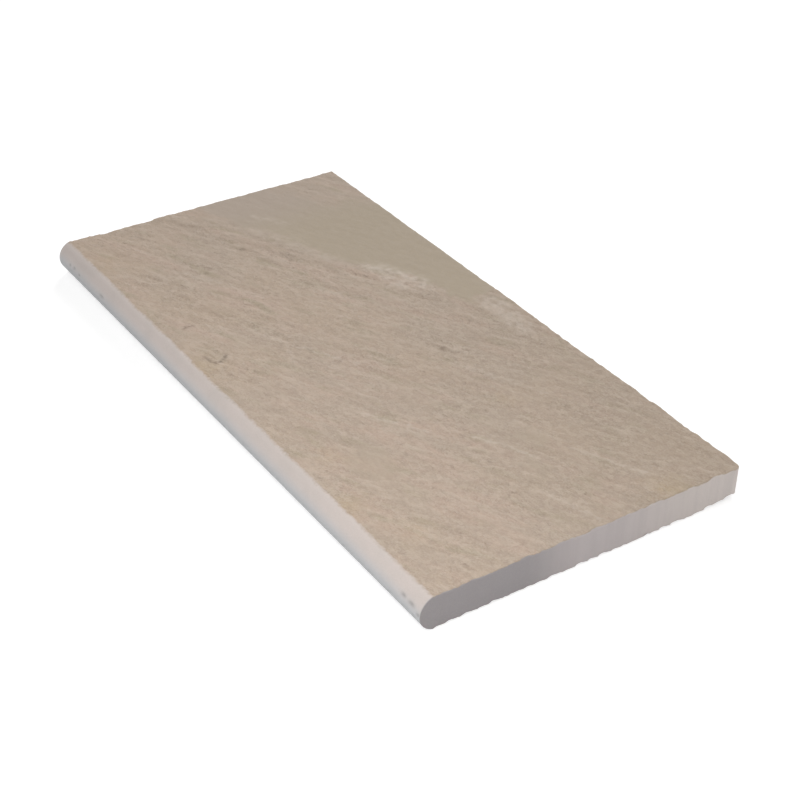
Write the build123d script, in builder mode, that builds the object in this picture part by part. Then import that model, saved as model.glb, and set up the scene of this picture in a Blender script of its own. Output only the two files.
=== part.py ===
from build123d import *
from math import ceil, cos, hypot, pi, radians, sin, sqrt
import os

# A bullnosed pool coping stone of riven sandstone, lying flat on its bed.
# Millimetres. The length runs along X, the bullnose faces -Y, and the bed lies on Z = 0.
# The origin is the middle of the bed.

# The slab, as it lies; the nose is a little fuller than a half-round,
# so it meets both faces at a slight angle
length = 600.0
width = 300.0
thickness = 30.0
nose_fullness = 0.4

# The cleft (riven) top: long low waves that wander along the cleft lines, steeper on one side.
# A wave is its length across the cleft lines, its length along them, its bend,
# its share of the whole depth, and its phase.
riven_depth = 1.8
cleft_slant = 32.0
cleft_skew = 0.5
cleft_waves = (
    (118.0, 540.0, 0.8, 0.40, 0.4),
    (61.0, 310.0, 1.1, 0.32, 2.0),
    (36.0, 190.0, 0.9, 0.28, 4.0),
)
section_step = 12.0
point_step = 8.0

# The smooth bed at the far back corner, where one more leaf came away:
# its ragged edge as distances from the far end and from the back
leaf_depth = 1.9
leaf_edge = (
    (0.0, 158.0),
    (36.0, 146.0),
    (66.0, 136.0),
    (74.0, 122.0),
    (132.0, 104.0),
    (176.0, 86.0),
    (188.0, 76.0),
    (224.0, 50.0),
    (256.0, 42.0),
    (280.0, 36.0),
    (285.0, 29.0),
    (282.0, 8.0),
    (281.0, 0.0),
)

# The split underside: shallow shell-shaped hollows round the flat that the stone lies on
hollow_radius = 260.0
hollow_depth = 1.5
hollow_pitch = 96.0
middle_flat = 60.0

# The sawn edges: flakes along the bed arris, worn back corners,
# and a long flat flake off the lower corner at the near end
flake_depth = 2.0
flake_pitch = 17.0
cusp_share = 0.6
corner_wear = 4.0
break_length = 26.0
break_width = 54.0
break_height = 4.5

# How far a hollow or a flake strays from even spacing, as a share of its pitch,
# and how much its depth varies, as a share of the depth
stray = 0.3
depth_variation = 0.4

# How far a cutting shape runs past the stone
clearance = 10.0

half_length = length / 2
half_width = width / 2
nose_radius = thickness / 2 + nose_fullness
nose_centre = nose_radius - half_width
nose_edge = nose_centre - sqrt(nose_radius**2 - (thickness / 2) ** 2)
block_top = thickness + clearance
waste_top = block_top + clearance


def uneven(index, seed):
    """A repeatable uneven number from -1 to 1."""
    return sin(12.9898 * index + 78.233 * seed)


def riven_height(x, y):
    """The height of the cleft top over a place on the bed."""
    slant = radians(cleft_slant)
    along = x * cos(slant) + y * sin(slant)
    across = y * cos(slant) - x * sin(slant)
    height = 0.0
    for short, long, bend, share, phase in cleft_waves:
        turn = 2 * pi * across / short + bend * sin(2 * pi * along / long + phase) + phase
        height += share * sin(turn + cleft_skew * sin(turn))
    return thickness - riven_depth * (1 - height) / 2


def even_places(size, step):
    """Evenly spaced places that run a clearance past both sides of the stone."""
    count = ceil((size + 2 * clearance) / step)
    return [(i / count - 0.5) * (size + 2 * clearance) for i in range(count + 1)]


def flaked_arris(start, end, inward, seed):
    """The waste along one bed arris: a chain of flake scars with cusps between them, cut up and outward."""
    count = max(1, round((end - start).length / flake_pitch))
    cusps = [start]
    for i in range(1, count):
        along = (i + stray * uneven(i, seed)) / count
        cusp_depth = flake_depth * cusp_share * (1 + uneven(i, seed + 1)) / 2
        cusps.append(start + (end - start) * along + inward * cusp_depth)
    cusps.append(end)
    outside = [end - inward * clearance, start - inward * clearance]
    with BuildPart() as waste:
        with BuildSketch(Plane.XY):
            with BuildLine():
                for i in range(count):
                    scar_depth = flake_depth * (1 - depth_variation * (1 + uneven(i, seed + 2)) / 2)
                    middle = (cusps[i] + cusps[i + 1]) / 2 + inward * scar_depth
                    ThreePointArc(cusps[i], middle, cusps[i + 1])
                Polyline(end, *outside, start)
            make_face()
        extrude(amount=clearance, dir=Vector(0, 0, 1) - inward)
    return waste.part


def hollow_centres():
    """Sphere centres of the hollows in the bed, clear of the flat in its middle."""
    columns = max(1, round(length / hollow_pitch))
    rows = max(1, round(width / hollow_pitch))
    centres = []
    for i in range(columns):
        for j in range(rows):
            number = i * rows + j
            x = (i + 0.5 + stray * uneven(number, 1)) * length / columns - half_length
            y = (j + 0.5 + stray * uneven(number, 2)) * width / rows - half_width
            depth = hollow_depth * (1 - depth_variation * (1 + uneven(number, 3)) / 2)
            if hypot(x, y) > middle_flat:
                centres.append((x, y, depth - hollow_radius))
    return centres


# What was split away above the stone: a loft through sections along the length,
# whose wavy lower edges share one spacing of knots
with BuildPart() as riven_waste:
    across_places = even_places(width, point_step)
    knots = [i / (len(across_places) - 1) for i in range(len(across_places))]
    for x in even_places(length, section_step):
        wavy_edge = [Vector(y, riven_height(x, y)) for y in across_places]
        with BuildSketch(Plane.YZ.offset(x)):
            with BuildLine():
                add(Edge.make_spline(wavy_edge, parameters=knots))
                Polyline(
                    wavy_edge[-1],
                    (across_places[-1], waste_top),
                    (across_places[0], waste_top),
                    wavy_edge[0],
                )
            make_face()
    loft()

# One more leaf at the far back corner, inside its ragged edge
with BuildPart() as top_leaf:
    with BuildSketch(Plane.XY.offset(thickness - leaf_depth)):
        with BuildLine():
            ragged_edge = [(x - half_length, half_width - y) for x, y in leaf_edge]
            beyond_end = -half_length - clearance
            beyond_back = half_width + clearance
            Spline(*ragged_edge)
            Polyline(
                ragged_edge[-1],
                (ragged_edge[-1][0], beyond_back),
                (beyond_end, beyond_back),
                (beyond_end, ragged_edge[0][1]),
                ragged_edge[0],
            )
        make_face()
    extrude(amount=waste_top)

# The flakes along both sawn ends and the back
near_nose = Vector(half_length, nose_edge)
near_back = Vector(half_length, half_width)
far_nose = Vector(-half_length, nose_edge)
far_back = Vector(-half_length, half_width)
near_flakes = flaked_arris(near_nose, near_back, Vector(-1, 0), 4)
far_flakes = flaked_arris(far_nose, far_back, Vector(1, 0), 7)
back_flakes = flaked_arris(far_back, near_back, Vector(0, -1), 10)

with BuildPart() as coping_stone:
    # The sawn block with its rounded nose, still taller than the stone
    with BuildSketch(Plane.YZ.offset(-half_length)):
        with BuildLine():
            nose_top = (nose_centre, thickness / 2 + nose_radius)
            Polyline(
                (nose_edge, 0),
                (half_width, 0),
                (half_width, block_top),
                (nose_centre, block_top),
                nose_top,
            )
            ThreePointArc(nose_top, (-half_width, thickness / 2), (nose_edge, 0))
        make_face()
    extrude(amount=length)
    back_corners = coping_stone.edges().filter_by(Axis.Z).group_by(Axis.Y)[-1]
    fillet(back_corners, corner_wear)

    # The lower corner at the near end of the back, where a flake is gone
    on_end = Vector(half_length, half_width - break_width, 0)
    on_corner = Vector(half_length, half_width, break_height)
    on_back = Vector(half_length - break_length, half_width, 0)
    broken_face = (on_back - on_end).cross(on_corner - on_end)
    split(bisect_by=Plane(origin=on_end, z_dir=broken_face), keep=Keep.BOTTOM)

    # The split underside, then the riven top with its smooth bed
    with Locations(*hollow_centres()):
        Sphere(hollow_radius, rotation=(90, 0, 0), mode=Mode.SUBTRACT)
    add([near_flakes, far_flakes, back_flakes], mode=Mode.SUBTRACT)
    add(riven_waste.part, mode=Mode.SUBTRACT)
    add(top_leaf.part, mode=Mode.SUBTRACT)

coping_stone.part.label = "coping_stone"

os.makedirs("parts", exist_ok=True)
export_step(coping_stone.part, "parts/coping_stone.step")
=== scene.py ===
import math
from types import SimpleNamespace

import bpy
import numpy as np
from mathutils import Matrix, Vector
from mathutils.bvhtree import BVHTree


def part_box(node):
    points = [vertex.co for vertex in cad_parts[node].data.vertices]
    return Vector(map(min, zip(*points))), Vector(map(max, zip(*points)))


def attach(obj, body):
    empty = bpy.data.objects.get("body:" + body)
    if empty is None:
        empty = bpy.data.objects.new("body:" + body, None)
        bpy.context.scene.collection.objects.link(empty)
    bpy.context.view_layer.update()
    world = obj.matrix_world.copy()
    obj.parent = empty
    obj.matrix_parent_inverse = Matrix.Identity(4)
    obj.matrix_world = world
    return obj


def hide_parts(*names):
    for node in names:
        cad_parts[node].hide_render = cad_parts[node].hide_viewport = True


# A bullnosed coping stone of riven sandstone on a white studio floor.
# Everything is in metres: the length runs along X, the nose faces -Y, and the bed lies on Z = 0.

MM = 0.001

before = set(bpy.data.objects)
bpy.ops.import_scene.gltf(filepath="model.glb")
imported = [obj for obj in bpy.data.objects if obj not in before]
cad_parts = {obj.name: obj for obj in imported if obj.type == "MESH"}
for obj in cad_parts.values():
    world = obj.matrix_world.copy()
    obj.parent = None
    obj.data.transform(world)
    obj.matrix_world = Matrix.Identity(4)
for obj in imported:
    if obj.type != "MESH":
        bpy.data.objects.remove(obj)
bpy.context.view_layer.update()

# The frame that the stone fills, and its section: a nose a little fuller than a half-round
HALF_LENGTH, HALF_WIDTH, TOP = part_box("coping_stone")[1]
THICKNESS = 30 * MM
NOSE_FULLNESS = 0.4 * MM
NOSE_RADIUS = THICKNESS / 2 + NOSE_FULLNESS
NOSE_CENTRE = NOSE_RADIUS - HALF_WIDTH
NOSE_EDGE = NOSE_CENTRE - math.sqrt(NOSE_RADIUS**2 - (THICKNESS / 2) ** 2)

# The rounding of the two back corners, seen from above
NEAR_ROUND = 4.5 * MM
FAR_ROUND = 2 * MM

# The mesh: its spacing on the cleft top, closer rows beside the arrises, and a coarser bed
STEP = 1.65 * MM
EDGE_ROWS = np.array([0.0, 0.45, 1.1, 2.0, 3.3]) * MM
WALL_ROWS = np.array([0.0, 0.5, 1.2, 2.2, 4.0, 7.0, 11.0]) * MM
NOSE_STEPS = 16
BED_STEP = 3

# The spacing at which the solid's top and bed are read
GRID_STEP = 2 * MM

# The cleft top: streaks run at this angle to the length, and ledges are one thin leaf high
CLEFT_SLANT = math.radians(27)
LEDGE = 0.42 * MM
LEDGE_SHARE = 0.8

# Layers of its fine relief, in millimetres: height, grain along and across the streaks, seed and octaves,
# and over them crests: height, grain along and across, and seed
RELIEF = ((0.72, 60, 14, 1, 3), (0.38, 24, 8, 20, 3), (0.18, 6, 4, 40, 2))
CRESTS = (0.58, 40, 10, 240)

# This share of the solid's waves about their mean height is kept, and the smooth bed is lifted.
# By the nose the skin is drawn to one height, and part of its fine relief fades.
MEAN_TOP = 29.1 * MM
WAVE_SHARE = 0.75
LEAF_LIFT = 0.9 * MM
NOSE_SKIN = 29.8 * MM
NOSE_SKIN_SHARE = 0.9
NOSE_FADE = 0.6

# How softly the highest places level off under the stone's full height
TOP_EASE = 0.25 * MM

# The split underside: the height of its roughness, and how far that is let into the hollows
BED_ROUGH = 0.3 * MM
BED_SUNK = 0.25 * MM

# Where one more leaf has come away: the ragged edge of the smooth bed, from the far end to the back
SMOOTH_BED = MM * np.array([
    (-310, -12), (-264, 4), (-234, 14), (-226, 28), (-168, 46), (-124, 64), (-112, 74),
    (-76, 100), (-44, 108), (-20, 114), (-15, 121), (-18, 142), (-18, 160), (-310, 160),
])

# Its far corner, which is half as smooth
FAR_CORNER = MM * np.array([
    (-310, 72), (-276, 94), (-240, 114), (-228, 134), (-220, 160), (-310, 160),
])

# How softly the smooth bed ends, most so by the far end
BED_EDGE = 5 * MM
BED_EDGE_FAR = 18 * MM

# Smaller smooth spots and pale rough patches: place and two radii
SMOOTH_SPOTS = MM * np.array([
    (-144, -34, 10, 8), (182, 36, 19, 11), (146, -90, 30, 18), (216, 16, 14, 10), (-60, 60, 12, 7),
])
PALE_PATCHES = MM * np.array([(2, 134, 18, 14), (30, 132, 30, 12), (-84, 84, 30, 13)])

# Shares: how smooth a spot is, how pale a patch and how dark the painted shade in a pit,
# and how much roughness the smooth bed and the far end lack
SPOT_SMOOTHNESS = 0.6
PATCH_PALENESS = 0.7
PIT_DARKNESS = 0.35
SMOOTH_CALM = 0.74
FAR_CALM = 0.16

# Pale ragged ridges, dark clefts and cracks, in millimetres: height or depth, width, and a line
RIDGES = (
    (0.90, 12.0, ((-114, 72), (-92, 88), (-68, 100), (-54, 98))),
    (0.30, 13.0, ((-228, 18), (-196, 33), (-164, 44), (-136, 56))),
    (0.30, 8.0, ((-254, 33), (-240, 42), (-226, 51))),
    (0.60, 4.0, ((160, -2), (184, 13), (208, 22))),
    (0.55, 3.5, ((-28, -50), (-2, -36), (20, -22))),
    (0.50, 4.0, ((84, -60), (104, -48), (136, -28))),
    (0.50, 5.0, ((244, 2), (270, 8), (300, 15))),
    (0.45, 4.5, ((212, 52), (238, 68), (266, 80))),
    (0.35, 4.0, ((-60, -66), (-36, -58), (-12, -66))),
    (0.40, 5.0, ((62, 44), (96, 62), (140, 84))),
    (0.35, 5.0, ((-190, -74), (-150, -50), (-120, -36))),
)
CLEFTS = (
    (0.90, 3.6, ((-236, -20), (-224, -12), (-200, -8), (-168, 18), (-140, 32), (-116, 46))),
    (0.70, 3.0, ((270, 64), (284, 61), (300, 57))),
    (0.50, 5.0, ((208, -42), (246, -28), (300, -4))),
    (0.45, 4.5, ((120, -70), (156, -52), (190, -30), (220, -22))),
    (0.40, 4.5, ((-160, -70), (-120, -58), (-96, -44))),
    (0.40, 5.0, ((236, 28), (266, 44), (300, 58))),
    (0.40, 5.0, ((20, -76), (52, -58), (84, -44))),
)
# The cracks are also painted dark: painted shade in them, darkest where deepest
CRACKS = (
    (0.55, 1.3, ((-106, -111), (-106, -116), (-105, -121))),
    (0.60, 1.3, ((-50, -109), (-45, -114), (-43, -119), (-44, -123), (-46, -126))),
    (0.40, 1.5, ((-46, -126), (-52, -126), (-56, -127))),
    (0.25, 1.3, ((-22, -46), (-14, -46))),
    (0.25, 1.3, ((6, -30), (10, -36))),
)

# The height from which a ridge is at its palest and the depth from which the painted shade in a crack is at
# its darkest, and how much wider than its groove that painted shade shows
PALE_HEIGHT = 0.8
DARK_DEPTH = 0.7
DARK_WIDTH = 1.6

# Small pits, also painted dark as shade: place, radius and depth
PITS = MM * np.array([
    (-102, -60, 4.0, 0.7), (-182, -58, 4.0, 0.6), (-204, -8, 5.0, 0.6), (38, 52, 4.0, 0.5),
    (44, 82, 2.5, 0.5), (192, -12, 3.0, 0.6), (-276, -117, 2.5, 0.6), (129, -71, 2.5, 0.5),
    (-21, -122, 2.5, 0.5),
])

# Nicks in the front of the nose, pressed in and painted dark as shade: place along it, height, and two radii
NICKS = MM * np.array([
    (-277, 18.6, 1.6, 1.3), (-268, 19.4, 2.0, 1.0), (-257, 17.6, 1.7, 1.0), (-210, 18.4, 4.0, 1.1),
    (278, 20, 2.6, 1.4), (288, 19.2, 3.4, 1.5), (297, 15.8, 1.6, 1.4),
])
NICK_DEPTH = 0.7 * MM

# Tan and yellow stains: place and radius in millimetres, and strength
STAINS = (
    (292, 84, 16, 1.0), (-40, -132, 14, 0.8), (120, -114, 12, 0.6), (180, -136, 14, 0.8), (128, 52, 9, 0.5),
    (-250, -126, 12, 0.5), (236, -110, 18, 0.4),
)

# Flake scars along the bed arris and small chips along the top arris, at the ends and the back.
# Each slants further in than up, and a chip under its least share of the height is left out.
FLAKE_PITCH = 11 * MM
FLAKE_HEIGHT = 2.7 * MM
FLAKE_SLANT = 1.7
CHIP_PITCH = 15 * MM
CHIP_HEIGHT = 0.6 * MM
CHIP_SLANT = 1.6
CHIP_LEAST = 0.55
ARRIS_WEAR = 0.18 * MM

# How far a cusp between two scars strays, as a share of the pitch, the shallowest scar, as a share
# of the deepest, and how hollow a scar's face is, as a share of its size
CUSP_STRAY = 0.38
SHALLOWEST_SCAR = 0.2
SCAR_HOLLOW = 0.12

# The noise repeats after this many cells
NOISE_CELLS = 256

# Colours as the eye sees them, from 0 to 255
PALETTE = {
    "tan": (181, 162, 144),
    "dun": (177, 160, 144),
    "pink": (184, 163, 147),
    "olive": (171, 156, 136),
    "pale streak": (194, 177, 161),
    # Deeper tan by the near end's back: partly the stone's own tone, partly painted shade
    "deep tan and painted shade": (165, 149, 132),
    "smooth bed": (173, 159, 140),
    "smooth far end": (175, 160, 146),
    "stain": (178, 158, 128),
    "ridge": (204, 191, 178),
    "dull grain": (120, 104, 90),
    "bright grain": (222, 208, 191),
    "plate": (208, 193, 178),
    "pit": (128, 112, 98),
    # Painted shade in cracks and pits
    "crack": (96, 84, 72),
    "sawn": (189, 181, 180),
    # Sawn faces paler by the back are painted light; greyer by the nose is painted shade
    "sawn in painted light by the back": (201, 192, 187),
    "sawn in painted shade by the nose": (160, 155, 156),
    "saw band": (158, 150, 150),
    # Painted cool light on the nose's lower half
    "nose in painted cool light below": (195, 196, 198),
    "nose": (209, 198, 192),
    "nose vein": (205, 195, 189),
    "cut grain": (186, 176, 170),
    # Painted shade in the nicks
    "nick": (118, 112, 108),
    "split": (166, 152, 138),
    "split cloud": (154, 142, 130),
    "split streak": (184, 171, 157),
    "split dust": (182, 168, 154),
    "split pit": (118, 104, 92),
}

# Square soft lamps: place, aim, size, and the light on a surface that faces it at its aim, 1 being plain
LAMPS = {
    "back_lamp": ((-3.00, 2.40, 2.00), (0, 0, 0), 1.4, 0.69),
    "front_lamp": ((0.20, -1.60, 0.90), (0.05, -0.05, 0.02), 0.9, 0.26),
    "near_lamp": ((0.42, -0.42, 0.66), (0.28, -0.15, 0.02), 0.5, 0.56),
    "end_lamp": ((1.20, 0.75, 0.20), (0.3, 0.1, 0.02), 0.5, 0.45),
}

# The grey of the world round them
SURROUND = 0.25

# The floor: half its size, its greys, and the distances over which it fades to plain white
FLOOR_REACH = 6.0
FLOOR_GREY = 0.75
FLOOR_SHADED = 0.5
FLOOR_GLOW = 0.68
FLOOR_FADE = (0.8, 1.6)

# The photograph's view: round the stone from the front, down, and a little tilted
CAMERA_AZIMUTH = 55.508
CAMERA_ELEVATION = 33.888
CAMERA_ROLL = 1.435
CAMERA_TARGET = Vector((48.35 * MM, 1.53 * MM, 0))
CAMERA_DISTANCE = 1413.6 * MM
CAMERA_LENS = 75.5


def smooth_step(low, high, value):
    """0 below low, 1 above high, and a smooth rise between."""
    t = np.clip((value - low) / (high - low), 0, 1)
    return t * t * (3 - 2 * t)


def noise(u, v, seed):
    """Seeded gradient noise, about -1 to 1, with bumps one unit across."""
    angles = np.random.default_rng(seed).uniform(0, 2 * np.pi, (NOISE_CELLS, NOISE_CELLS))
    i, j = np.floor(u).astype(int), np.floor(v).astype(int)
    du, dv = u - i, v - j
    su, sv = (d * d * d * (d * (6 * d - 15) + 10) for d in (du, dv))

    def corner(right, up):
        angle = angles[(i + right) % NOISE_CELLS, (j + up) % NOISE_CELLS]
        return np.cos(angle) * (du - right) + np.sin(angle) * (dv - up)

    below = corner(0, 0) * (1 - su) + corner(1, 0) * su
    above = corner(0, 1) * (1 - su) + corner(1, 1) * su
    return 1.5 * (below * (1 - sv) + above * sv)


def fractal(u, v, seed, octaves=4, gain=0.5):
    """Layers of noise, each finer, turned and fainter than the last."""
    total, share = 0.0, 1.0
    for octave in range(octaves):
        total = total + share * noise(u, v, seed + octave)
        u, v = 1.6 * u - 1.2 * v + 17.3, 1.2 * u + 1.6 * v - 9.1
        share *= gain
    return total


def patches(x, y, size, seed, octaves=2, other_size=None):
    """Noise whose patches are so many millimetres long, and as wide unless another size is given."""
    return fractal(x / (size * MM), y / ((other_size or size) * MM), seed, octaves)


def crests(u, v, seed):
    """Sharp wandering crests over level ground, from 0 to 1."""
    wander = 0.5 * noise(1.7 * u, 1.7 * v, seed + 1)
    return np.clip(1 - 2.2 * np.abs(noise(u, v + wander, seed)), 0, 1) ** 2


def cleft_axes(x, y):
    """Distances along and across the cleft streaks."""
    return (
        x * math.cos(CLEFT_SLANT) + y * math.sin(CLEFT_SLANT),
        y * math.cos(CLEFT_SLANT) - x * math.sin(CLEFT_SLANT),
    )


def ragged(x, y, size, seed):
    """Places moved about by noise of that size, so that smooth outlines turn ragged."""
    return (
        x + 0.5 * size * fractal(x / size, y / size, seed),
        y + 0.5 * size * fractal(x / size, y / size, seed + 10),
    )


def run_distance(x, y, start, end):
    """Distance from the straight run between two points."""
    run = end - start
    t = np.clip(((x - start[0]) * run[0] + (y - start[1]) * run[1]) / (run @ run), 0, 1)
    return np.hypot(x - start[0] - t * run[0], y - start[1] - t * run[1])


def along_line(x, y, width, points):
    """1 on a line through points and falling softly to 0 beside it; width and points in millimetres."""
    corners = MM * np.array(points)
    distance = np.min([run_distance(x, y, a, b) for a, b in zip(corners, corners[1:])], axis=0)
    return np.exp(-((distance / (0.5 * width * MM)) ** 2))


def inside_distance(x, y, outline):
    """Signed distance from a closed outline, above 0 inside."""
    nearest = np.full(np.shape(x), np.inf)
    inside = np.zeros(np.shape(x), bool)
    for a, b in zip(outline, np.roll(outline, -1, axis=0)):
        nearest = np.minimum(nearest, run_distance(x, y, a, b))
        if a[1] != b[1]:
            crosses = (a[1] > y) != (b[1] > y)
            inside ^= crosses & (x < a[0] + (y - a[1]) * (b[0] - a[0]) / (b[1] - a[1]))
    return np.where(inside, nearest, -nearest)


def spot_distance(x, y, spot):
    """How far out a place lies in an oval spot, 1 being its edge."""
    cx, cy, across, up = spot
    return np.hypot((x - cx) / across, (y - cy) / up)


def smooth_share(x, y):
    """1 on the smooth bed, part on the smooth spots, and 0 on the rough cleft."""
    rx, ry = ragged(x, y, 14 * MM, seed=100)
    soft = BED_EDGE + (BED_EDGE_FAR - BED_EDGE) * smooth_step(110 * MM, 170 * MM, -x)
    share = smooth_step(-soft, 0.5 * soft, inside_distance(rx, ry, SMOOTH_BED))
    for spot in SMOOTH_SPOTS:
        in_spot = 1 - smooth_step(0.5, 1.25, spot_distance(rx, ry, spot))
        share = np.maximum(share, SPOT_SMOOTHNESS * in_spot)
    far_corner = smooth_step(-14 * MM, 14 * MM, inside_distance(rx, ry, FAR_CORNER))
    return share * (1 - 0.5 * far_corner)


def rough_share(x, y):
    """How rough the cleft is: least on the smooth bed, calmer by the far end, uneven from patch to patch."""
    uneven = smooth_step(-0.6, 0.7, patches(x, y, 52, seed=220, octaves=3, other_size=36))
    calm = smooth_step(60 * MM, 260 * MM, -x)
    return (1 - SMOOTH_CALM * smooth_share(x, y)) * (0.8 + 0.4 * uneven) * (1 - FAR_CALM * calm)


def crest_share(x, y):
    """How far a place stands on one of the pale ridges or in a pale patch."""
    rx, ry = ragged(x, y, 5 * MM, seed=120)
    share = np.zeros(np.shape(x))
    for height, width, points in RIDGES:
        share = np.maximum(share, min(1, height / PALE_HEIGHT) * along_line(rx, ry, width, points))
    for patch in PALE_PATCHES:
        in_patch = 1 - smooth_step(0.5, 1.3, spot_distance(rx, ry, patch))
        share = np.maximum(share, PATCH_PALENESS * in_patch)
    broken = smooth_step(-0.5, 0.5, patches(x, y, 7, seed=130))
    return share * (0.3 + 0.7 * broken)


def dark_share(x, y):
    """How far a place lies in a crack or a pit: the share of painted shade there."""
    rx, ry = ragged(x, y, 2.5 * MM, seed=140)
    share = np.zeros(np.shape(x))
    for depth, width, points in CRACKS:
        crack = along_line(rx, ry, DARK_WIDTH * width, points)
        share = np.maximum(share, min(1, depth / DARK_DEPTH) * crack)
    for cx, cy, radius, _ in PITS:
        pit = np.exp(-((np.hypot(rx - cx, ry - cy) / (0.5 * radius)) ** 2))
        share = np.maximum(share, PIT_DARKNESS * pit)
    return share


def nick_share(x, y, z):
    """How far a place lies in one of the nicks in the nose; the nicks are pressed in and painted dark as
    shade by this share.
    """
    share = np.zeros(np.shape(x))
    for nick in NICKS:
        share = np.maximum(share, np.exp(-(spot_distance(x, z, nick) ** 2)))
    return np.where(y < NOSE_CENTRE, share, 0)


def stain_share(x, y):
    """How far a place is stained tan."""
    rx, ry = ragged(x, y, 12 * MM, seed=160)
    share = np.zeros(np.shape(x))
    for cx, cy, radius, strength in STAINS:
        spread = np.hypot(rx - cx * MM, ry - cy * MM) / (radius * MM)
        share = np.maximum(share, strength * np.exp(-(spread**2)))
    return share


def cleft_relief(x, y):
    """The fine relief of the cleft top over its main waves."""
    along, across = cleft_axes(x, y)
    relief = np.zeros(np.shape(x))
    for height, length, breadth, seed, octaves in RELIEF:
        relief += height * MM * fractal(along / (length * MM), across / (breadth * MM), seed, octaves)
    height, length, breadth, seed = CRESTS
    relief += height * MM * crests(along / (length * MM), across / (breadth * MM), seed)
    relief *= rough_share(x, y)
    rx, ry = ragged(x, y, 6 * MM, seed=120)
    broken = smooth_step(-0.6, 0.4, patches(x, y, 9, seed=130))
    for height, width, points in RIDGES:
        relief += height * MM * broken * along_line(rx, ry, width, points)
    for depth, width, points in CLEFTS:
        relief -= depth * MM * broken * along_line(rx, ry, width, points)
    for depth, width, points in CRACKS:
        relief -= depth * MM * along_line(rx, ry, width, points)
    for cx, cy, radius, depth in PITS:
        relief -= depth * np.exp(-((np.hypot(x - cx, y - cy) / radius) ** 2))
    return relief


def in_ledges(height, x, y):
    """A height drawn towards thin level ledges with ragged edges, as the leaves of the stone lie."""
    along, across = cleft_axes(x, y)
    uneven = 0.3 * LEDGE * patches(along, across, 9, seed=60, octaves=3, other_size=5)
    level = (height + uneven) / LEDGE
    whole = np.floor(level)
    stepped = LEDGE * (whole + smooth_step(0.78, 1.0, level - whole))
    crisp = LEDGE_SHARE * smooth_step(-0.5, 0.6, patches(x, y, 60, seed=80))
    return height + crisp * np.minimum(rough_share(x, y), 1) * (stepped - height)


class HeightGrid:
    """Heights of the CAD stone's top or bed, read once on an even grid, softened and blended."""

    def __init__(self, tree, upward, margin, softenings):
        self.low = np.array([-HALF_LENGTH + margin, NOSE_EDGE + 1 * MM])
        high = np.array([HALF_LENGTH - margin, HALF_WIDTH - margin])
        counts = np.ceil((high - self.low) / GRID_STEP).astype(int) + 1
        self.step = (high - self.low) / (counts - 1)
        start, way = (-THICKNESS, 1) if upward else (2 * THICKNESS, -1)
        self.grid = np.zeros(counts)
        for i, j in np.ndindex(*counts):
            x, y = self.low + self.step * (i, j)
            self.grid[i, j] = tree.ray_cast(Vector((x, y, start)), Vector((0, 0, way)))[0].z
        for _ in range(softenings):
            padded = np.pad(self.grid, 1, mode="edge")
            rows = (padded[:-2] + 2 * padded[1:-1] + padded[2:]) / 4
            self.grid = (rows[:, :-2] + 2 * rows[:, 1:-1] + rows[:, 2:]) / 4

    def at(self, x, y):
        """The height over a place, with the nearest one beyond the grid."""
        u = np.clip((x - self.low[0]) / self.step[0], 0, self.grid.shape[0] - 1.001)
        v = np.clip((y - self.low[1]) / self.step[1], 0, self.grid.shape[1] - 1.001)
        i, j = u.astype(int), v.astype(int)
        u, v = u - i, v - j
        low = self.grid[i, j] * (1 - u) + self.grid[i + 1, j] * u
        high = self.grid[i, j + 1] * (1 - u) + self.grid[i + 1, j + 1] * u
        return low * (1 - v) + high * v


def nose_rise(y):
    """Half the height of the nose's circle at y, or a little more than half the stone behind it."""
    reach = np.clip((y - NOSE_CENTRE) / NOSE_RADIUS, -1, 0)
    return NOSE_RADIUS * np.sqrt(1 - reach**2)


def skin_height(x, y):
    """The riven top, as if it ran on over the nose."""
    rx, ry = ragged(x, y, 10 * MM, seed=180)
    base = MEAN_TOP + WAVE_SHARE * (top_grid.at(rx, ry) - MEAN_TOP) + LEAF_LIFT * smooth_share(x, y)
    by_nose = 1 - smooth_step(2 * MM, 25 * MM, y - NOSE_EDGE)
    base += NOSE_SKIN_SHARE * by_nose * (NOSE_SKIN - base)
    return in_ledges(base + (1 - NOSE_FADE * by_nose) * cleft_relief(x, y), x, y)


def top_height(x, y):
    """The riven top, cut by the ground nose, and never above the stone's full height."""
    cut = np.minimum(skin_height(x, y), THICKNESS / 2 + nose_rise(y))
    limit = TOP - TOP_EASE
    return np.where(cut > limit, limit + TOP_EASE * np.tanh((cut - limit) / TOP_EASE), cut)


def bed_height(x, y):
    """The split underside: the CAD stone's hollows, roughened, with the nose below."""
    along, across = cleft_axes(x, y)
    rough = BED_ROUGH * (1 + fractal(along / (36 * MM), across / (16 * MM), seed=200, octaves=5, gain=0.6))
    hollow = np.maximum(bed_grid.at(x, y) + rough - BED_SUNK, 0)
    return np.maximum(hollow, THICKNESS / 2 - nose_rise(y))


def graded(low, high, edge_low, edge_high):
    """Places from low to high at about the mesh's step, with closer rows at the ends where asked."""
    inner_low = low + (EDGE_ROWS[-1] if edge_low else 0)
    inner_high = high - (EDGE_ROWS[-1] if edge_high else 0)
    inner = np.linspace(inner_low, inner_high, 1 + round((inner_high - inner_low) / STEP))
    parts = [low + EDGE_ROWS[:-1]] if edge_low else []
    parts.append(inner)
    if edge_high:
        parts.append(high - EDGE_ROWS[-2::-1])
    return np.concatenate(parts)


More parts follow.
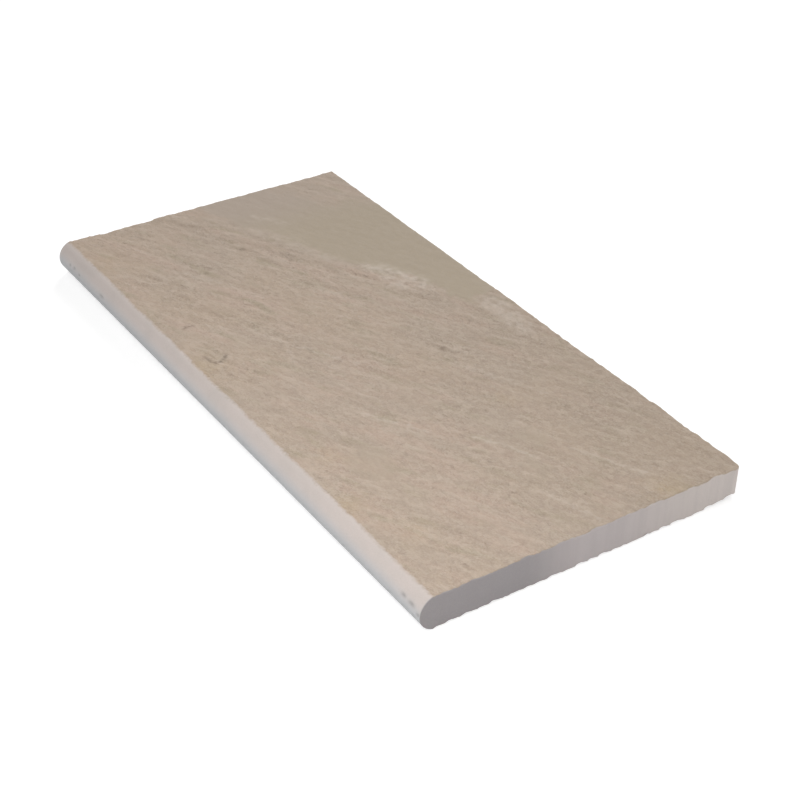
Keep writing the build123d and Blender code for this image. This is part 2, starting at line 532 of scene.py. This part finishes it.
def arris_wave(along, pitch, depth, seed):
    """Depth of the scars along an arris: uneven shells, each deepest at one side, with cusps between."""
    random = np.random.default_rng(seed)
    count = int(2 * HALF_LENGTH / pitch) + 4
    strays = random.uniform(-CUSP_STRAY, CUSP_STRAY, count)
    cusps = (np.arange(count) + strays) * pitch - HALF_LENGTH - 2 * pitch
    depths = depth * random.uniform(SHALLOWEST_SCAR, 1.0, count)
    index = np.clip(np.searchsorted(cusps, along) - 1, 0, count - 2)
    middle = (cusps[index] + cusps[index + 1]) / 2
    half = (cusps[index + 1] - cusps[index]) / 2
    across = np.clip((along - middle) / half, -1, 1)
    shell = (1 - across**2) ** 0.5 * (0.6 - 0.4 * across)
    return ARRIS_WEAR + depths[index] * shell


def onto_scar(inward, upright, deep, high):
    """Moves points of the two faces beside an arris onto the hollow face of a scar across it."""
    u, v = inward / deep, upright / high
    hit = (u < 1) & (v < 1)
    spread = np.where(hit, 2 - u - v, 1)
    new_u, new_v = 1 - (1 - u) / spread, 1 - (1 - v) / spread
    hollow = SCAR_HOLLOW * (1 - (new_u - new_v) ** 2)
    return (
        np.where(hit, deep * (new_u + hollow), inward),
        np.where(hit, high * (new_v + hollow), upright),
    )


def scarred(inward, level, along, seed):
    """Points beside one sawn face: flakes gone from the bed arris and chips from the top arris."""
    flake = arris_wave(along, FLAKE_PITCH, FLAKE_HEIGHT, seed)
    inward, upright = onto_scar(inward, level * THICKNESS, FLAKE_SLANT * flake, flake)
    chip = arris_wave(along, CHIP_PITCH, CHIP_HEIGHT, seed + 1)
    chip = np.where(chip > CHIP_LEAST * CHIP_HEIGHT, chip, ARRIS_WEAR)
    inward, down = onto_scar(inward, THICKNESS - upright, CHIP_SLANT * chip, chip)
    return inward, 1 - down / THICKNESS


def corners_rounded(x, y):
    """Places with those beyond the rounding of a back corner drawn in to it."""
    radius = np.where(x > 0, NEAR_ROUND, FAR_ROUND)
    over_x = np.abs(x) - (HALF_LENGTH - radius)
    over_y = y - (HALF_WIDTH - radius)
    corner = (over_x > 0) & (over_y > 0)
    reach = np.maximum(over_x, over_y) / np.maximum(np.hypot(over_x, over_y), 1e-9)
    return (
        np.where(corner, np.sign(x) * (HALF_LENGTH - radius + over_x * reach), x),
        np.where(corner, HALF_WIDTH - radius + over_y * reach, y),
    )


def nicks_pressed(x, y, z):
    """Places with those in a nick pressed towards the middle of the nose."""
    sunk = 1 - NICK_DEPTH / NOSE_RADIUS * nick_share(x, y, z)
    on_nose = y < NOSE_CENTRE
    return (
        np.where(on_nose, NOSE_CENTRE + sunk * (y - NOSE_CENTRE), y),
        np.where(on_nose, THICKNESS / 2 + sunk * (z - THICKNESS / 2), z),
    )


class Lattice:
    """The stone's skin as five sheets of a box that share their border points.

    The front of the box is drawn in to a single line, the tip of the nose."""

    def __init__(self):
        self.x = graded(-HALF_LENGTH, HALF_LENGTH, True, True)
        turn = np.linspace(-math.pi / 2, math.asin((NOSE_EDGE - NOSE_CENTRE) / NOSE_RADIUS), NOSE_STEPS + 1)
        flat = graded(NOSE_EDGE, HALF_WIDTH, False, True)
        self.y = np.concatenate([NOSE_CENTRE + NOSE_RADIUS * np.sin(turn[:-1]), flat])
        middle = np.linspace(WALL_ROWS[-1], THICKNESS - WALL_ROWS[-1], 4)[1:-1]
        self.level = np.concatenate([WALL_ROWS, middle, THICKNESS - WALL_ROWS[::-1]]) / THICKNESS
        self.places = []
        self.count = 0
        self.faces = []
        self.number()
        self.knit()

    def new_points(self, x, y, level):
        """Adds a sheet of points and returns their numbers."""
        x, y, level = np.broadcast_arrays(x, y, level)
        self.places.append(np.stack([x.ravel(), y.ravel(), level.ravel()], axis=1))
        numbers = np.arange(self.count, self.count + x.size).reshape(x.shape)
        self.count += x.size
        return numbers

    def number(self):
        """Numbers the points of every sheet, the shared borders once."""
        x, y, level = self.x[:, None], self.y[None, :], self.level[None, 1:-1]
        self.top = self.new_points(x, y, 1.0)
        self.bed = np.zeros_like(self.top)
        self.bed[:, 0] = self.top[:, 0]
        self.bed[:, 1:] = self.new_points(x, y[:, 1:], 0.0)
        inner = self.new_points(x, self.y[-1], level)
        self.back = np.column_stack([self.bed[:, -1], inner, self.top[:, -1]])
        self.ends = []
        for i in (0, -1):
            inner = self.new_points(self.x[i], self.y[1:-1, None], level)
            tip = np.full((1, inner.shape[1]), self.top[i, 0])
            inner = np.vstack([tip, inner, self.back[i, 1:-1]])
            self.ends.append(np.column_stack([self.bed[i], inner, self.top[i]]))

    def add_quads(self, sheet, flipped):
        """Faces of one sheet, in order round each square."""
        corners = [sheet[:-1, :-1], sheet[1:, :-1], sheet[1:, 1:], sheet[:-1, 1:]]
        quads = np.stack(corners, axis=-1).reshape(-1, 4)
        self.faces += (quads[:, ::-1] if flipped else quads).tolist()

    def knit(self):
        """Joins the sheets, with the flat of the bed in larger squares that keep every border point."""
        self.add_quads(self.top, False)
        self.add_quads(self.bed[:, : NOSE_STEPS + 1], True)
        self.add_quads(self.back, True)
        for end, flipped in zip(self.ends, (True, False)):
            self.add_quads(end[1:], flipped)
            for lower, upper in zip(end[1, :-1], end[1, 1:]):
                triangle = [end[0, 0], lower, upper]
                self.faces.append(triangle[::-1] if flipped else triangle)
        flat = self.bed[:, NOSE_STEPS:]
        i_last, j_last = flat.shape[0] - 1, flat.shape[1] - 1
        for i, i_end in self.spans(i_last):
            for j, j_end in self.spans(j_last):
                west = flat[i, j:j_end] if i == 0 else flat[i, j : j + 1]
                north = flat[i:i_end, j_end] if j_end == j_last else flat[i : i + 1, j_end]
                east = flat[i_end, j_end:j:-1] if i_end == i_last else flat[i_end, j_end : j_end + 1]
                south = flat[i_end:i:-1, j] if j == 0 else flat[i_end : i_end + 1, j]
                self.faces.append(np.concatenate([west, north, east, south]).tolist())

    @staticmethod
    def spans(count):
        """Spans of the larger squares along one side."""
        starts = list(range(0, count, BED_STEP))
        return zip(starts, starts[1:] + [count])


def shape_of(lattice):
    """Every point of the lattice at its place on the real, worn stone."""
    x, y, level = np.concatenate(lattice.places).T
    inward, scarred_level = scarred(HALF_LENGTH - np.abs(x), level, y, seed=300)
    behind_nose = y > NOSE_EDGE
    x = np.where(behind_nose, np.sign(x) * (HALF_LENGTH - inward), x)
    level = np.where(behind_nose, scarred_level, level)
    inward, level = scarred(HALF_WIDTH - y, level, x, seed=320)
    x, y = corners_rounded(x, HALF_WIDTH - inward)
    bed = bed_height(x, y)
    z = bed + level * (top_height(x, y) - bed)
    y, z = nicks_pressed(x, y, z)
    return np.stack([x, y, z], axis=1)


def surface_shares(points):
    """What the material needs to know at each point.

    The skin share is how far the ground nose would rise over the skin, in millimetres, and on_top falls
    to 0 a ragged little way below the top, so that the skin wraps over the arrises."""
    x, y, z = points.T
    skin = THICKNESS / 2 + nose_rise(y) - skin_height(x, y)
    skin += 3 * MM * smooth_step(-1 * MM, 5 * MM, y - NOSE_EDGE)
    behind_nose = smooth_step(-1 * MM, 2 * MM, y - NOSE_EDGE)
    off_ends = 1 - smooth_step(-0.7 * MM, -0.2 * MM, np.abs(x) - HALF_LENGTH)
    wrapped = smooth_step(-0.2, 0.8, patches(x, y, 14, seed=400, octaves=3))
    wrap = 0.2 * MM + 1.3 * MM * wrapped * smooth_step(0, 90 * MM, y)
    return {
        "skin": np.clip(skin / MM, -2, 2),
        "on_top": 1 - smooth_step(0.6, 1.0, (top_height(x, y) - z) / wrap),
        "smooth": smooth_share(x, y),
        "rough": rough_share(x, y),
        "crest": crest_share(x, y),
        # dark and nick hold the shares of painted shade in cracks, pits and nicks
        "dark": dark_share(x, y),
        "nick": nick_share(x, y, z),
        "stain": stain_share(x, y),
        "bed": behind_nose * (1 - smooth_step(0.3 * MM, 1.0 * MM, z - bed_height(x, y))),
        "nose": (1 - behind_nose) * off_ends,
    }


def new_object(name, data):
    """An object in the scene that shows a mesh, a lamp or a camera."""
    made = bpy.data.objects.new(name, data)
    bpy.context.scene.collection.objects.link(made)
    return made


def build_stone():
    """The stone's mesh, with the shares its material reads as point attributes."""
    lattice = Lattice()
    points = shape_of(lattice)
    mesh = bpy.data.meshes.new("riven_stone")
    mesh.from_pydata(points.tolist(), [], lattice.faces)
    mesh.polygons.foreach_set("use_smooth", np.ones(len(mesh.polygons), bool))
    for name, values in surface_shares(points).items():
        mesh.attributes.new(name, "FLOAT", "POINT").data.foreach_set("value", values.astype(np.float32))
    mesh.validate()
    mesh.update()
    mesh.materials.append(sandstone())
    return new_object("riven_stone", mesh)


def colour(name):
    """A colour of the palette as Blender's linear one."""
    parts = [c / 255 for c in PALETTE[name]]
    return tuple(p / 12.92 if p <= 0.04045 else ((p + 0.055) / 1.055) ** 2.4 for p in parts) + (1.0,)


def grey(level):
    """A linear grey."""
    return (level, level, level, 1)


class Nodes:
    """A short way to write the nodes of a material or a world."""

    def __init__(self, owner):
        owner.use_nodes = True
        self.tree = owner.node_tree
        self.tree.nodes.clear()

    def add(self, kind, inputs, **settings):
        """A node with its settings and inputs; an input is a value or another node's socket."""
        node = self.tree.nodes.new("ShaderNode" + kind)
        for name, value in settings.items():
            setattr(node, name, value)
        for key, value in inputs.items():
            if isinstance(value, bpy.types.NodeSocket):
                self.tree.links.new(value, node.inputs[key])
            else:
                node.inputs[key].default_value = value
        return node

    def share(self, name):
        """A share that the mesh holds at its points."""
        return self.add("Attribute", {}, attribute_name=name).outputs["Fac"]

    def math(self, operation, a, b):
        """An operation on two values."""
        return self.add("Math", {0: a, 1: b}, operation=operation).outputs[0]

    def product(self, a, b):
        """One value times another."""
        return self.math("MULTIPLY", a, b)

    def rise(self, value, low, high):
        """0 below low, 1 above high, smooth between."""
        node = self.add(
            "MapRange",
            {"Value": value, "From Min": low, "From Max": high},
            interpolation_type="SMOOTHSTEP",
        )
        return node.outputs[0]

    def grains(self, place, size, detail=3.0, roughness=0.5, seed=0.0):
        """Noise from 0 to 1 with grains of that size, in metres; another seed reads another part of it."""
        apart = self.add("VectorMath", {0: place, 1: (seed, 0, 0)}, operation="ADD").outputs[0]
        node = self.add(
            "TexNoise", {"Vector": apart, "Scale": 1 / size, "Detail": detail, "Roughness": roughness}
        )
        return node.outputs["Fac"]

    def drawn_out(self, place, slant, stretch):
        """Places whose patterns are drawn out along a slant over the stone."""
        node = self.add(
            "Mapping",
            {"Vector": place, "Rotation": (0, 0, slant), "Scale": (stretch, 1, 1)},
            vector_type="TEXTURE",
        )
        return node.outputs[0]

    def blend(self, share, under, over):
        """One colour with another laid over it by a share; a colour is a socket or a name in the palette."""
        under, over = (colour(c) if isinstance(c, str) else c for c in (under, over))
        return self.add("Mix", {0: share, 6: under, 7: over}, data_type="RGBA").outputs[2]


def stone_patterns(n):
    """The places and patterns that the faces of the stone share; each pattern runs from 0 to 1."""
    place = n.add("TexCoord", {}).outputs["Object"]
    length, side, height = n.add("SeparateXYZ", {"Vector": place}).outputs
    streaks = n.drawn_out(place, CLEFT_SLANT, 3.0)
    short = n.drawn_out(place, 0.5 * CLEFT_SLANT, 1.5)
    return SimpleNamespace(
        place=place,
        length=length,
        side=side,
        height=height,
        streaks=streaks,
        clouds=n.rise(n.grains(place, 90 * MM, 2.0), 0.35, 0.65),
        pale=n.rise(n.grains(streaks, 9 * MM, seed=4.0), 0.50, 0.72),
        mottle=n.rise(n.grains(short, 3.2 * MM, 2.0), 0.3, 0.7),
        speckle=n.rise(n.grains(place, 1.5 * MM, 1.0), 0.3, 0.7),
        plates=n.rise(n.grains(short, 5.6 * MM, roughness=0.55, seed=5.0), 0.50, 0.56),
        pits=n.rise(n.grains(short, 3.6 * MM, 2.0, seed=3.0), 0.61, 0.71),
        rough=n.share("rough"),
    )


def skin_colour(n, p):
    """The riven skin: tan with pink, olive and pale streaks, deeper by the back, partly as painted shade,
    and flatter where smooth, with cracks and pits painted dark as shade.
    """
    skin = n.blend(p.clouds, "tan", "dun")
    skin = n.blend(n.rise(n.grains(p.streaks, 20 * MM, seed=1.0), 0.45, 0.70), skin, "pink")
    skin = n.blend(n.rise(n.grains(p.streaks, 14 * MM, seed=2.0), 0.52, 0.72), skin, "olive")
    skin = n.blend(n.product(p.pale, 0.5), skin, "pale streak")
    # Deeper tan towards the near end's back: partly the stone's own tone, partly painted shade
    deep = n.product(n.rise(p.length, -120 * MM, 200 * MM), n.rise(p.side, -70 * MM, 130 * MM))
    skin = n.blend(n.product(deep, 0.5), skin, "deep tan and painted shade")
    smooth = n.share("smooth")
    flat = n.blend(n.rise(p.length, -280 * MM, -200 * MM), "smooth far end", "smooth bed")
    skin = n.blend(n.product(smooth, smooth), skin, flat)
    skin = n.blend(n.product(n.share("stain"), 0.5), skin, "stain")
    skin = n.blend(n.product(n.share("crest"), 0.8), skin, "ridge")

    # The fine grain, plates and pits show as far as the skin is rough
    grain = (
        (n.math("SUBTRACT", 1.0, p.mottle), 0.18, "dull grain"),
        (p.speckle, 0.13, "bright grain"),
        (p.plates, 0.15, "plate"),
        (p.pits, 0.15, "pit"),
    )
    for pattern, strength, over in grain:
        skin = n.blend(n.product(pattern, n.product(p.rough, strength)), skin, over)
    # Painted shade in the cracks and pits
    return n.blend(n.product(n.share("dark"), 0.8), skin, "crack")


def cut_colour(n, p):
    """The cut stone: pale sawn faces with painted light towards the back and painted shade on the near end
    by the nose, a nose warmer above with painted cool light below, and painted shade in the nicks.
    """
    # Painted light: the sawn faces paler towards the back
    end = n.blend(n.rise(p.side, 0.0, 110 * MM), "sawn", "sawn in painted light by the back")
    # Painted shade: the near end greyer by the nose
    by_nose = n.product(n.rise(p.length, 285 * MM, 297 * MM), n.rise(p.side, -6 * MM, -62 * MM))
    end = n.blend(by_nose, end, "sawn in painted shade by the nose")
    upright = n.add("Mapping", {"Vector": p.place, "Scale": (1.0, 1.0, 0.06)}).outputs[0]
    saw_bands = n.rise(n.grains(upright, 9 * MM, 2.0, seed=7.0), 0.4, 0.65)
    end = n.blend(n.product(saw_bands, 0.14), end, "saw band")
    veins = n.rise(n.grains(p.place, 22 * MM), 0.4, 0.7)
    # Painted cool light on the nose's lower half, below the warmer nose
    nose = n.blend(n.rise(p.height, 13 * MM, 26 * MM), "nose in painted cool light below", n.blend(veins, "nose", "nose vein"))
    cut = n.blend(n.share("nose"), end, nose)
    cut = n.blend(n.product(p.speckle, 0.12), cut, "cut grain")
    # Painted shade in the nicks
    return n.blend(n.product(n.share("nick"), 0.5), cut, "nick")


def split_colour(n, p):
    """The split underside: drier and dustier than the skin, in the same streaks."""
    split = n.blend(p.clouds, "split", "split cloud")
    split = n.blend(n.product(p.pale, 0.6), split, "split streak")
    split = n.blend(n.product(p.mottle, 0.4), split, "split dust")
    return n.blend(n.product(p.pits, 0.35), split, "split pit")


def split_relief(n, p, is_split):
    """Small plates and pits a fraction of a millimetre high on the split faces, over a finer grain."""
    grain = n.math("ADD", n.grains(p.place, 1.6 * MM, 2.0), n.product(p.mottle, 0.8))
    leaves = n.product(is_split, n.math("SUBTRACT", p.plates, p.pits))
    coarse = n.product(p.rough, n.math("ADD", 0.35, n.product(is_split, 0.65)))
    height = n.math("ADD", grain, leaves)
    return n.add("Bump", {"Height": height, "Distance": 0.2 * MM, "Strength": coarse}).outputs[0]


def sandstone():
    """The stone's finish: a brown riven skin, pale ground nose and sawn faces, in one material."""
    material = bpy.data.materials.new("sandstone")
    n = Nodes(material)
    p = stone_patterns(n)
    fray = n.product(n.math("SUBTRACT", n.grains(p.place, 2.6 * MM), 0.5), 1.6)
    is_skin = n.rise(n.math("ADD", n.share("skin"), fray), -0.85, 0.75)
    is_skin = n.product(is_skin, n.share("on_top"))
    is_bed = n.share("bed")
    stone = n.blend(is_skin, cut_colour(n, p), skin_colour(n, p))
    stone = n.blend(is_bed, stone, split_colour(n, p))
    bump = split_relief(n, p, n.math("MAXIMUM", is_skin, is_bed))
    roughness = n.add("MapRange", {"Value": p.mottle, "To Min": 0.78, "To Max": 0.92}).outputs[0]
    shader = n.add(
        "BsdfPrincipled",
        {"Base Color": stone, "Roughness": roughness, "Normal": bump, "Specular IOR Level": 0.3},
    )
    n.add("OutputMaterial", {"Surface": shader.outputs[0]})
    return material


def floor_paint():
    """Pale matt to the stone, and white to the camera with only the stone's soft shadow on it."""
    material = bpy.data.materials.new("floor")
    n = Nodes(material)
    paths = n.add("LightPath", {})
    seen = paths.outputs["Is Camera Ray"]
    for name in ("Is Glossy Ray", "Is Transmission Ray"):
        seen = n.math("MAXIMUM", seen, paths.outputs[name])
    matt = n.add("BsdfDiffuse", {"Color": grey(FLOOR_GREY)})
    shaded = n.add("BsdfDiffuse", {"Color": grey(FLOOR_SHADED)})
    glow = n.add("Emission", {"Color": grey(FLOOR_GLOW), "Strength": 1.0})
    near = n.add("AddShader", {0: shaded.outputs[0], 1: glow.outputs[0]})
    far = n.add("Emission", {"Color": grey(1), "Strength": 1.0})
    place = n.add("TexCoord", {}).outputs["Object"]
    away = n.add("VectorMath", {0: place}, operation="LENGTH").outputs["Value"]
    white = n.add("MixShader", {0: n.rise(away, *FLOOR_FADE), 1: near.outputs[0], 2: far.outputs[0]})
    mixed = n.add("MixShader", {0: seen, 1: matt.outputs[0], 2: white.outputs[0]})
    n.add("OutputMaterial", {"Surface": mixed.outputs[0]})
    return material


def build_floor():
    """A pale floor that looks white to the camera, and keeps the stone's soft shadow round it."""
    mesh = bpy.data.meshes.new("floor")
    corners = [(x * FLOOR_REACH, y * FLOOR_REACH, 0) for x, y in ((-1, -1), (1, -1), (1, 1), (-1, 1))]
    mesh.from_pydata(corners, [], [(0, 1, 2, 3)])
    mesh.materials.append(floor_paint())
    floor = new_object("floor", mesh)


def build_world():
    """A plain grey surround that the camera sees as white."""
    world = bpy.data.worlds.new("studio")
    bpy.context.scene.world = world
    n = Nodes(world)
    surround = n.add("Background", {"Color": grey(SURROUND)})
    white = n.add("Background", {"Color": grey(1)})
    seen = n.add("LightPath", {}).outputs["Is Camera Ray"]
    mix = n.add("MixShader", {0: seen, 1: surround.outputs[0], 2: white.outputs[0]})
    n.add("OutputWorld", {"Surface": mix.outputs[0]})


def add_lamp(name, place, aim, size, level):
    """A square soft lamp that faces its aim."""
    lamp = bpy.data.lights.new(name, "AREA")
    lamp.shape = "SQUARE"
    lamp.size = size
    away = Vector(place) - Vector(aim)
    lamp.energy = level * math.pi**2 * away.length_squared
    lamp_object = new_object(name, lamp)
    lamp_object.location = place
    lamp_object.rotation_euler = away.to_track_quat("Z", "Y").to_euler()


def add_camera():
    """The photograph's camera."""
    azimuth, elevation, roll = (math.radians(a) for a in (CAMERA_AZIMUTH, CAMERA_ELEVATION, CAMERA_ROLL))
    back = Vector((
        math.sin(azimuth) * math.cos(elevation),
        -math.cos(azimuth) * math.cos(elevation),
        math.sin(elevation),
    ))
    camera = bpy.data.cameras.new("camera")
    camera.sensor_width = 36
    camera.lens = CAMERA_LENS
    camera.clip_end = 50
    camera_object = new_object("camera", camera)
    place = Matrix.Translation(CAMERA_TARGET + CAMERA_DISTANCE * back)
    level = back.to_track_quat("Z", "Y").to_matrix().to_4x4()
    camera_object.matrix_world = place @ level @ Matrix.Rotation(roll, 4, "Z")
    bpy.context.scene.camera = camera_object


# The solid's top and bed, which the stone's own top and bed follow
cad_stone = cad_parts["coping_stone"]
cad_tree = BVHTree.FromObject(cad_stone, bpy.context.evaluated_depsgraph_get())
top_grid = HeightGrid(cad_tree, upward=False, margin=1.5 * MM, softenings=8)
bed_grid = HeightGrid(cad_tree, upward=True, margin=5 * MM, softenings=1)

add_camera()
stone = build_stone()
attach(stone, "root")
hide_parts("coping_stone")
build_floor()
build_world()
for name, setting in LAMPS.items():
    add_lamp(name, *setting)
bpy.context.scene.view_settings.view_transform = "Standard"
